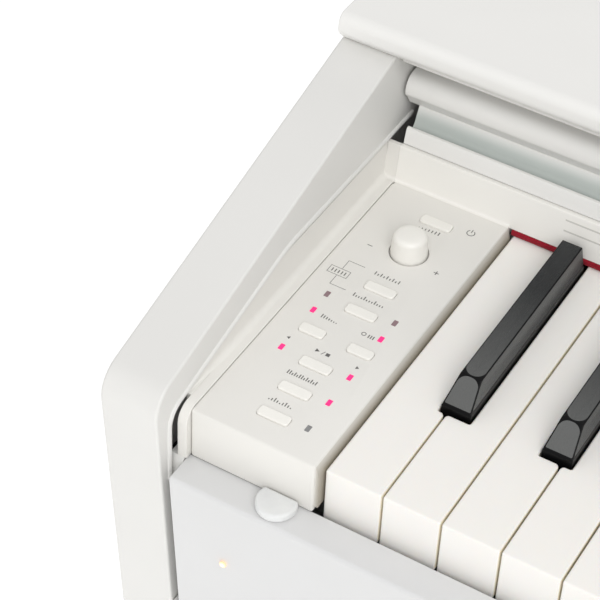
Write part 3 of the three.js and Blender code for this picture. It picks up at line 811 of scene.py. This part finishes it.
def build_marks(shell):
    ring(shell, -12.9, 137.3, 1.6, 0.36, 125, 415)
    bar(shell, -12.9, 138.5, 0.36, 1.9)
    bars(shell, -28.4, 129.7, [0.3, 0.5, 0.7, 0.9, 1.1, 1.3, 1.5, 1.7], 1.45)
    bar(shell, -43.2, 109.1, 2.2, 0.34)
    bar(shell, -13.5, 109.1, 2.2, 0.34)
    bar(shell, -13.5, 109.1, 0.34, 2.2)
    bars(shell, -28.2, 96.3, [1.6, 0.9] * 4 + [1.6], 1.3)
    bars(shell, -28.2, 81.3, [1.7, 0.8, 0.8, 0.8] * 3, 1.15)
    bars(shell, -35.6, 64.3, [1.7, 1.45, 1.2, 0.95, 0.7, 0.5, 0.35], 1.1)
    ring(shell, -20.6, 64.4, 0.85, 0.3)
    bars(shell, -17.4, 64.2, [1.5, 1.5, 1.5], 1.0)
    bars(shell, -28.5, 31.9, [1.7, 1.7, 1.0, 1.7, 1.0, 1.7, 1.7, 1.0, 1.7, 1.0, 1.7, 1.0, 1.7], 1.0)
    bars(shell, -28.7, 16.7, [0.5, 1.1, 1.7, 1.1] * 2 + [0.5], 1.15)
    plate(shell, [(-3.1, -0.9), (-1.4, 0), (-3.1, 0.9)], -28.5, 47.2)
    plate(shell, [(-0.5, -1.0), (-0.2, -1.0), (0.7, 1.0), (0.4, 1.0)], -28.5, 47.2)
    bar(shell, -26.4, 47.2, 1.6, 1.6)
    plate(shell, [(-0.8, 0), (0.5, -0.8), (0.5, 0.8)], -43.6, 47.4)
    plate(shell, [(0.8, 0), (-0.5, 0.8), (-0.5, -0.8)], -13.8, 47.3)
    for y in (96.8, 81.6):
        bar(shell, -42.0, y, 7.2, 0.2)
    for low, high in ((81.6, 86.9), (91.5, 96.8)):
        bar(shell, -45.6, (low + high) / 2, 0.2, high - low)
    for y in (87.2, 91.2):
        bar(shell, -45.9, y, 8.6, 0.2)
    for x in (-50.2, -41.6):
        bar(shell, x, 89.2, 0.2, 4.2)
    bars(shell, -45.9, 89.1, [1.6] * 5, 1.4)


marks = new_piece("printed_marks", build_marks, grey_ink)
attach(marks, "cabinet")


def lamp_lens(name, code, glow):
    """A tinted lens. A lit one shines with its own colour."""
    material, tree, shader, tint, _ = tinted(
        name, 500, colour(code), [min(1, c * 1.15) for c in colour(code)])
    shader.inputs["Roughness"].default_value = 0.3
    if glow:
        wire(tree, tint, shader.inputs["Emission Color"])
        shader.inputs["Emission Strength"].default_value = glow
    return material


lit_pink = lamp_lens("lit_pink", "E82A7C", 0.35)
dull_mauve = lamp_lens("dull_mauve", "8A7276", 0)
dull_grey = lamp_lens("dull_grey", "858585", 0)
lamps = [
    (-43.3, 75.8, dull_mauve), (-13.5, 75.8, dull_mauve), (-43.4, 65.4, lit_pink), (-13.7, 65.3, lit_pink),
    (-43.3, 41.7, lit_pink), (-13.6, 41.5, lit_pink), (-13.6, 26.2, lit_pink), (-13.5, 11.0, dull_grey),
]
for count, (x, y, lens_material) in enumerate(lamps):
    def build_lens(shell):
        prism(shell, rounded_box(1.9, 3.2, 0.25, 2), panel_top - 0.5, panel_top + 0.12, x, y)
    small_lens = new_piece(f"panel_lamp_{count + 1}", build_lens, lens_material)
    ease(small_lens, 0.1, 2)
    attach(small_lens, "cabinet")

# ---------------------------------------------------------------- name board lines
# Two fine lines run along the name board's face, almost from end to end.
# They are moulded with the board; here they lie flush with it, in a greyer white that is painted shade
# standing in for their relief.


def build_lines(shell):
    lean = 2.3 / 17.1
    for height in (16.4, 11.5):
        y = name_foot + (height - 3.0) * lean
        over = height + 0.7
        slab(shell, [(y - 0.03, height), (y + 0.3, height), (y + 0.38, over), (y + 0.05, over)],
             20.5, keys_wide - 20.5)


lines = new_piece("name_board_lines", build_lines, moulded("line_relief_shade", "CFCDC7", "C9C7C1", 0.5))
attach(lines, "cabinet")

# ---------------------------------------------------------------- key felt
# A strip of crimson felt glued under the name board, right across the keys.
# It keeps dust out and quiets the keys' tails.


def felt_cloth():
    material, tree, shader, _, fibre = tinted(
        "crimson_felt", 1500, colour("800018"), colour("A00424"), stretch=(1, 0.4, 1), detail=8)
    roughen(tree, shader, fibre, 0.7, 0.0006)
    shader.inputs["Roughness"].default_value = 0.95
    shader.inputs["Sheen Weight"].default_value = 0.15
    shader.inputs["Sheen Roughness"].default_value = 0.4
    return material


def build_felt(shell):
    section = fillet([(148.7, 0.45, 0.4), (153.2, 0.45, 0), (153.2, 2.8, 0), (148.7, 2.8, 0.8)], 4)
    slab(shell, section, -0.4, keys_wide + 0.4)


felt = new_piece("felt_strip", build_felt, felt_cloth())
smooth(felt)
fix(felt, "cabinet", "felt", "key_felt")

# ---------------------------------------------------------------- bumpers and power lamp
# A frosted soft pad is stuck on the slip at each end, where the closed cover lands.
# The power lamp is a small lens pressed into the slip's face.


def frosted():
    material, tree, shader, _, _ = tinted("frosted_pad", 120, colour("D9DADA"), colour("E4E5E4"))
    shader.inputs["Roughness"].default_value = 0.5
    shader.inputs["Subsurface Weight"].default_value = 0.4
    shader.inputs["Subsurface Radius"].default_value = (0.002, 0.002, 0.002)
    return material


pad_material = frosted()
pad_x = -14.5


def build_pad(shell):
    radius = 8.0
    front = [(radius * math.cos(t), radius * math.sin(t)) for t in
             (math.pi - 0.476 + (math.pi + 0.952) * k / 30 for k in range(31))]
    prism(shell, front, slip_top + 0.1, slip_top + 4.0, pad_x, -8.1)


pad = new_piece("landing_pad_left", build_pad, pad_material)
ease(pad, 1.6, 5)
pad_right = mirrored(pad, "landing_pad_right")
fix(pad, "cabinet", "frosted_pad", "bumper_left")
fix(pad_right, "cabinet", "frosted_pad", "bumper_right")


def power_glow():
    """Orange-red at the rim and yellow-white in the middle, by distance from the lamp's own centre."""
    material, tree, shader = new_material("power_glow")
    place = node(tree, "ShaderNodeTexCoord")
    ball = node(tree, "ShaderNodeTexGradient", gradient_type="SPHERICAL")
    zoom = node(tree, "ShaderNodeMapping")
    zoom.inputs["Scale"].default_value = (520, 520, 520)
    ramp = node(tree, "ShaderNodeValToRGB")
    ramp.color_ramp.elements[0].color = colour("F07040")
    ramp.color_ramp.elements[1].color = colour("FFF4C8")
    ramp.color_ramp.elements[1].position = 0.6
    wire(tree, place.outputs["Object"], zoom.inputs["Vector"])
    wire(tree, zoom.outputs["Vector"], ball.inputs["Vector"])
    wire(tree, ball.outputs["Fac"], ramp.inputs["Fac"])
    wire(tree, ramp.outputs["Color"], shader.inputs["Base Color"])
    wire(tree, ramp.outputs["Color"], shader.inputs["Emission Color"])
    shader.inputs["Emission Strength"].default_value = 0.8
    return material


lamp_low, lamp_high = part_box("power_lamp")
lamp_middle = (lamp_low + lamp_high) / 2


def build_power_lamp(shell):
    bmesh.ops.create_uvsphere(shell, u_segments=20, v_segments=10, radius=1.5 * MM)
    for vertex in shell.verts:
        vertex.co.y *= 0.45


power_lamp = new_piece("power_lens", build_power_lamp, power_glow())
power_lamp.location = lamp_middle
smooth(power_lamp, 60)
fix(power_lamp, "cabinet", "lamp_lens", "power_lamp")

# ---------------------------------------------------------------- white keys
# Each is a moulded key with a slightly warm, satin top; its tail is cut back beside the black keys.
# It turns on the frame behind the name board. The first five move alone, the others in banks.
pitch = 23.5
head = 49.3
slot_half = 6.7
sharp_offset = {"a": 3.4, "c": -2.4, "d": 2.4, "f": -3.4, "g": 0.0}
letters = "abcdefg"


def note(index):
    return letters[index % 7]


def has_sharp(index):
    return 0 <= index < 51 and note(index) in sharp_offset


def key_white():
    """Satin moulded plastic with very fine grain along the key; its side faces are painted warmer and paler,
    a painted glow standing in for light bounced in the gaps between keys.
    """
    material, tree, shader = new_material("key_white")
    tint, _ = mottled(tree, 22, colour("F1EEE9"), colour("F4F2EE"), stretch=(1, 0.3, 1))
    place = node(tree, "ShaderNodeTexCoord")
    facing = node(tree, "ShaderNodeSeparateXYZ")
    size = node(tree, "ShaderNodeMath", operation="ABSOLUTE")
    sides = node(tree, "ShaderNodeValToRGB")
    sides.color_ramp.elements[0].position = 0.75
    sides.color_ramp.elements[1].position = 0.97
    side_glow = node(tree, "ShaderNodeMixRGB", Color2=colour("F6EFDC"))
    wire(tree, place.outputs["Normal"], facing.inputs["Vector"])
    wire(tree, facing.outputs["X"], size.inputs[0])
    wire(tree, size.outputs["Value"], sides.inputs["Fac"])
    wire(tree, sides.outputs["Color"], side_glow.inputs["Fac"])
    wire(tree, tint, side_glow.inputs["Color1"])
    wire(tree, side_glow.outputs["Color"], shader.inputs["Base Color"])
    gloss, _ = mottled(tree, 60, grey(0.30), grey(0.38), stretch=(1, 0.2, 1))
    wire(tree, gloss, shader.inputs["Roughness"])
    _, grain = mottled(tree, 1800, grey(0), grey(1), stretch=(1, 0.08, 1), detail=2)
    roughen(tree, shader, grain, 0.06, 0.0002)
    shader.inputs["Subsurface Weight"].default_value = 0.12
    shader.inputs["Subsurface Radius"].default_value = (0.004, 0.0028, 0.0018)
    return material


white_plastic = key_white()


def white_key_outline(index):
    left, right = 0.4, pitch - 0.4
    tail_left, tail_right = left, right
    if has_sharp(index - 1):
        tail_left = sharp_offset[note(index - 1)] + slot_half
    if has_sharp(index):
        tail_right = pitch + sharp_offset[note(index)] - slot_half
    outline = [(left, 0, 0.8), (right, 0, 0.8)]
    if tail_right < right:
        outline += [(right, head - 1.2, 1.6), (tail_right, head - 1.2, 0.8)]
    outline += [(tail_right, 222, 0), (tail_left, 222, 0)]
    if tail_left > left:
        outline += [(tail_left, head - 1.2, 0.8), (left, head - 1.2, 1.6)]
    return fillet(outline, 4)


def white_body(index):
    if index < 5:
        return "key_" + ["a0", "b0", "c1", "d1", "e1"][index]
    return "white_keys_" + ("low" if index < 23 else "middle" if index < 37 else "high")


def build_under(shell):
    """The space under a key behind its front apron."""
    prism(shell, [(-5, 2.5), (30, 2.5), (30, 230), (-5, 230)], -30, -20)


white_meshes = {}
stood_for = set()
for index in range(52):
    shape = (note(index), has_sharp(index - 1), has_sharp(index))
    if shape not in white_meshes:
        def build_white(shell):
            prism(shell, white_key_outline(index), -26, 0)
        key = new_piece(f"white_key_{index + 1}", build_white, white_plastic)
        ease(key, 0.7, 3, 50)
        settle(key)
        cut(key, new_piece("under_key", build_under, white_plastic))
        key.data.transform(Matrix.Translation(-at(0, 0, 0)))
        white_meshes[shape] = key.data
    else:
        key = bpy.data.objects.new(f"white_key_{index + 1}", white_meshes[shape])
        scene.collection.objects.link(key)
    key.location = at(index * pitch, 0, 0)
    body = white_body(index)
    fix(key, body, "ivory", *([] if body in stood_for else [body]))
    stood_for.add(body)

# ---------------------------------------------------------------- black keys
# A moulded cap with a sloped front and drawn-in sides. The flat faces are finely textured and matt;
# the edges between them, and the skirt, are smooth and darker.


def key_black(name, light, dark, roughness, depth, sheen_tone=None):
    material, tree, shader, tint, _ = tinted(
        name, 300, colour(dark), colour(light), stretch=(1, 0.25, 1), detail=5)
    # Painted sheen: the front of the top, the front slope and the high or front-facing sloped faces are mixed
    # towards a paler grey, where the matt grain catches the light.
    if sheen_tone:
        place = node(tree, "ShaderNodeTexCoord")
        where = node(tree, "ShaderNodeSeparateXYZ")
        facing = node(tree, "ShaderNodeSeparateXYZ")
        along = span(tree, 0.115, 0.055)
        upper = span(tree, 0.9, 0.99)
        upper.inputs["To Min"].default_value = 1.0
        upper.inputs["To Max"].default_value = 0.0
        height = span(tree, 0.0045, 0.0085)
        front = span(tree, -0.15, -0.4)
        lit = node(tree, "ShaderNodeMath", operation="MAXIMUM")
        sloped = node(tree, "ShaderNodeMath", operation="MULTIPLY")
        amount = node(tree, "ShaderNodeMath", operation="MAXIMUM")
        sheen_mix = node(tree, "ShaderNodeMixRGB", Color2=colour(sheen_tone))
        for source, target in (
                (place.outputs["Object"], where.inputs["Vector"]),
                (place.outputs["Normal"], facing.inputs["Vector"]),
                (where.outputs["Y"], along.inputs["Value"]), (facing.outputs["Z"], upper.inputs["Value"]),
                (where.outputs["Z"], height.inputs["Value"]), (facing.outputs["Y"], front.inputs["Value"]),
                (height.outputs["Result"], lit.inputs[0]), (front.outputs["Result"], lit.inputs[1]),
                (upper.outputs["Result"], sloped.inputs[0]), (lit.outputs["Value"], sloped.inputs[1]),
                (along.outputs["Result"], amount.inputs[0]), (sloped.outputs["Value"], amount.inputs[1]),
                (amount.outputs["Value"], sheen_mix.inputs["Fac"])):
            wire(tree, source, target)
        wire(tree, tint, sheen_mix.inputs["Color1"])
        wire(tree, sheen_mix.outputs["Color"], shader.inputs["Base Color"])
    _, grain = mottled(tree, 2200, grey(0), grey(1), stretch=(1, 0.25, 1), detail=4)
    roughen(tree, shader, grain, depth, 0.0003)
    shader.inputs["Roughness"].default_value = roughness
    return material


matt_black = key_black("matt_black", "232527", "1B1D1F", 0.5, 0.9, "595A59")
edge_black = key_black("edge_black", "0C0C0D", "08080A", 0.3, 0.03)
edge_black.node_tree.nodes["Principled BSDF"].inputs["Specular IOR Level"].default_value = 0.15


def framed_panel(shell, corners, radii, inset, steps=5):
    """A flat face with a smooth rim: an inner panel with rounded corners, and the rim round it."""
    middle = sum(corners, Vector()) / 4
    along = (corners[1] - corners[0]).normalized()
    normal = (corners[1] - corners[0]).cross(corners[3] - corners[0]).normalized()
    up = normal.cross(along)
    flat = [((c - middle).dot(along), (c - middle).dot(up)) for c in corners]
    inner = []
    for i, (a, b) in enumerate(flat):
        here = Vector((a, b))
        before = (Vector(flat[i - 1]) - here).normalized()
        after = (Vector(flat[(i + 1) % 4]) - here).normalized()
        half = before.angle(after) / 2
        inner.append((*(here + (before + after).normalized() * (inset / math.sin(half))), radii[i]))
    arcs = fillet(inner, steps)
    rows = [arcs[i * (steps + 1):(i + 1) * (steps + 1)] for i in range(4)]
    outer = [shell.verts.new(c) for c in corners]
    made = [[shell.verts.new(middle + along * p.x + up * p.y) for p in row] for row in rows]
    for i in range(4):
        for k in range(steps):
            shell.faces.new((outer[i], made[i][k + 1], made[i][k])).material_index = 1
        j = (i + 1) % 4
        shell.faces.new((outer[i], outer[j], made[j][0], made[i][-1])).material_index = 1
    shell.faces.new([v for row in made for v in row]).material_index = 0


def build_black(shell):
    base, crown = 5.9, 4.3
    front, back, slope = 49.3, 146.0, 10.5
    skirt, rise = 2.9, 11.5
    point = lambda x, y, z: Vector((x, y, z)) * MM
    foot = 6.2
    sl = [point(-base, front + 0.5, skirt), point(base, front + 0.5, skirt)]
    sb = [point(base, back, skirt), point(-base, back, skirt)]
    tl = [point(-crown, front + slope, rise), point(crown, front + slope, rise)]
    tb = [point(crown, back, rise), point(-crown, back, rise)]
    framed_panel(shell, [tl[0], tl[1], tb[0], tb[1]], (3.9 * MM, 3.9 * MM, 0.3 * MM, 0.3 * MM), 0.42 * MM, 8)
    framed_panel(shell, [sl[0], sl[1], tl[1], tl[0]], (0.4 * MM, 0.4 * MM, 3.8 * MM, 3.8 * MM), 0.5 * MM, 8)
    framed_panel(shell, [sl[1], sb[0], tb[0], tl[1]], (0.5 * MM, 0.3 * MM, 0.3 * MM, 4.5 * MM), 0.42 * MM, 8)
    framed_panel(shell, [sb[1], sl[0], tl[0], tb[1]], (0.3 * MM, 0.5 * MM, 4.5 * MM, 0.3 * MM), 0.42 * MM, 8)
    low = [point(-foot, front, -8), point(foot, front, -8), point(foot, back, -8), point(-foot, back, -8)]
    shoulder = [Vector((corner.x, corner.y, (skirt - 0.9) * MM)) for corner in low]
    top = sl + sb
    for i in range(4):
        j = (i + 1) % 4
        for ring in ((low[i], low[j], shoulder[j], shoulder[i]), (shoulder[i], shoulder[j], top[j], top[i])):
            face = shell.faces.new([shell.verts.new(p) for p in ring])
            face.material_index = 1
    for ends in ((sb[0], sb[1], tb[1], tb[0]), (low[3], low[2], low[1], low[0])):
        shell.faces.new([shell.verts.new(p) for p in ends]).material_index = 1
    tail = [point(x, y, z) for z in (-16, -1) for x, y in ((-4.5, 54), (4.5, 54), (4.5, 222), (-4.5, 222))]
    corners = [shell.verts.new(p) for p in tail]
    for i in range(4):
        j = (i + 1) % 4
        shell.faces.new((corners[i], corners[j], corners[4 + j], corners[4 + i])).material_index = 1
    shell.faces.new(corners[:4][::-1]).material_index = 1
    shell.faces.new(corners[4:]).material_index = 1
    bmesh.ops.remove_doubles(shell, verts=shell.verts, dist=1e-6)


def black_body(index):
    if index in (0, 2, 3):
        return "key_" + {0: "a0", 2: "c1", 3: "d1"}[index] + "_sharp"
    return "black_keys_" + ("low" if index < 23 else "middle" if index < 37 else "high")


black_mesh = None
for index in range(52):
    if not has_sharp(index):
        continue
    if black_mesh is None:
        key = new_piece(f"black_key_{index + 1}", build_black, [matt_black, edge_black])
        bevel = ease(key, 0.32, 3, 20)
        bevel.material = 1
        settle(key)
        smooth(key, 50)
        black_mesh = key.data
    else:
        key = bpy.data.objects.new(f"black_key_{index + 1}", black_mesh)
        scene.collection.objects.link(key)
    key.location = at(index * pitch + pitch + sharp_offset[note(index)], 0, 0)
    body = black_body(index)
    fix(key, body, "ebony", *([] if body in stood_for else [body]))
    stood_for.add(body)

# ---------------------------------------------------------------- key cover
# The front rail is a bull-nose with a finger cove under it; two thin curved boards follow behind it.
# They slide out of the cabinet along the tracks, the rear board at half the distance.
rail_left = -53.8
nose_left = -58.5


def build_rail(shell):
    slab(shell, fillet([(161, 47, 5.8), (161, 38.8, 3.0), (163.2, 36.3, 0.5), (166.2, 31.2, 0.8),
                        (168.6, 33.6, 0), (176, 38, 0), (176, 47, 0.5)], 8), nose_left, keys_wide - nose_left)
    slab(shell, fillet([(153.6, 20.5, 0.3), (155.5, 27.4, 0.7), (157.2, 27.4, 0.4), (157.6, 21.3, 0.4),
                        (159.0, 21.3, 1.2), (162.4, 25.6, 9), (165.4, 32.2, 0.8), (170.5, 33.6, 0),
                        (173, 29, 0), (173, 22, 0), (169, 20.5, 0)], 6), rail_left, keys_wide - rail_left)


# Painted shade: the cove's faces darken towards the bottom of the cove, as if the nose above kept the light
# out.
cove_painted_shade = painted_shade_material("cove_shade", "E9E8E5", "E5E4E1", "BCC2BE", "Z", at(0, 0, 33).z, at(0, 0, 27.5).z, 0.45)
rail = new_piece("cover_front_rail", build_rail, [white_board, cove_painted_shade])
for face in rail.data.polygons:
    spot = face.center - at(0, 0, 0)
    if 0.1573 < spot.y < 0.1656 and spot.z < 0.0323 and abs(face.normal.x) < 0.5:
        face.material_index = 1
smooth(rail)
fix(rail, "cover_front", "painted_board", "cover_rail")
for name in ("cover_front_board", "cover_rear_board"):
    smooth(recoat(name, white_board), 30)

# ---------------------------------------------------------------- top board
# A faced board with a rounded nose over the cover, flush with the outer faces of the arm boards.
# A thicker strip under it fills the space between them.
nose_front = 148.8


def build_top(shell):
    board = fillet([(cabinet_back, 62, 0), (cabinet_back, 75, 0.8), (nose_front, 75, 4.6),
                    (nose_front, 66.5, 4), (nose_front + 4.2, 62, 0.8)], 6)
    slab(shell, board, end_outer, keys_wide - end_outer)
    strip_back = cabinet_back - 10
    slab(shell, fillet([(nose_front + 8.5, 56.7, 1.5), (strip_back, 56.7, 0), (strip_back, 62, 0),
                        (nose_front + 8.5, 62, 0)], 4), end_inner + 1, keys_wide - end_inner - 1)


top_board = new_piece("top", build_top, white_board)
ends = (end_outer, keys_wide - end_outer)
weigh(top_board, lambda a, b: near(a.x, b.x) and any(near(a.x, end) for end in ends), 1)
round_marked(top_board, 1.6)
fix(top_board, "cabinet", "painted_board", "top_board")

# ---------------------------------------------------------------- music rest
# A thin faced board on a ledge, with a stop along the ledge's front for the sheets.
# Two tabs under the ledge drop into slots in the top board, so it lifts off by hand.
recoat("music_rest", white_board, 1.0)

# ---------------------------------------------------------------- socket boxes
# Two black moulded boxes screwed under the bed with the sockets set in their faces:
# two for headphones at the front, and power and data at the back.
case_black = moulded("case_black", "242528", "1E1F22", 0.5)
recoat("headphone_box", case_black, 0.8)
recoat("power_inlet", case_black, 0.8)

# ---------------------------------------------------------------- stand
# The same faced board as the cabinet, bolted together: a leg and a foot at each end,
# with a back board and the pedal box between them to hold the legs square.
for name in ("leg_board_left", "leg_board_right", "foot_board_left", "foot_board_right", "stand_back_board",
             "pedal_box"):
    recoat(name, white_board, 1.5, 3)

# ---------------------------------------------------------------- pedals
# Three brass pedals turn on one steel shaft inside the box.
# A black plastic foot on a screw under the box takes their load and is turned down to the floor.


def polished_metal(name, light, dark, roughness):
    """Polished plate with hair-fine marks along it."""
    material, tree, shader, _, _ = tinted(name, 60, colour(dark), colour(light))
    gloss, lines = mottled(tree, 500, grey(roughness - 0.06), grey(roughness + 0.08), stretch=(1, 0.05, 1))
    wire(tree, gloss, shader.inputs["Roughness"])
    roughen(tree, shader, lines, 0.04, 0.0002)
    shader.inputs["Metallic"].default_value = 1.0
    return material


pedal_brass = polished_metal("pedal_brass", "D9B56A", "CFA95C", 0.2)
shaft_steel = polished_metal("shaft_steel", "B9BCC0", "A9ACB0", 0.3)
for name in ("soft_pedal", "sostenuto_pedal", "damper_pedal"):
    recoat(name, pedal_brass, 1.6, 4)
smooth(recoat("pedal_shaft", shaft_steel), 40)
smooth(recoat("pedal_adjuster", case_black), 40)
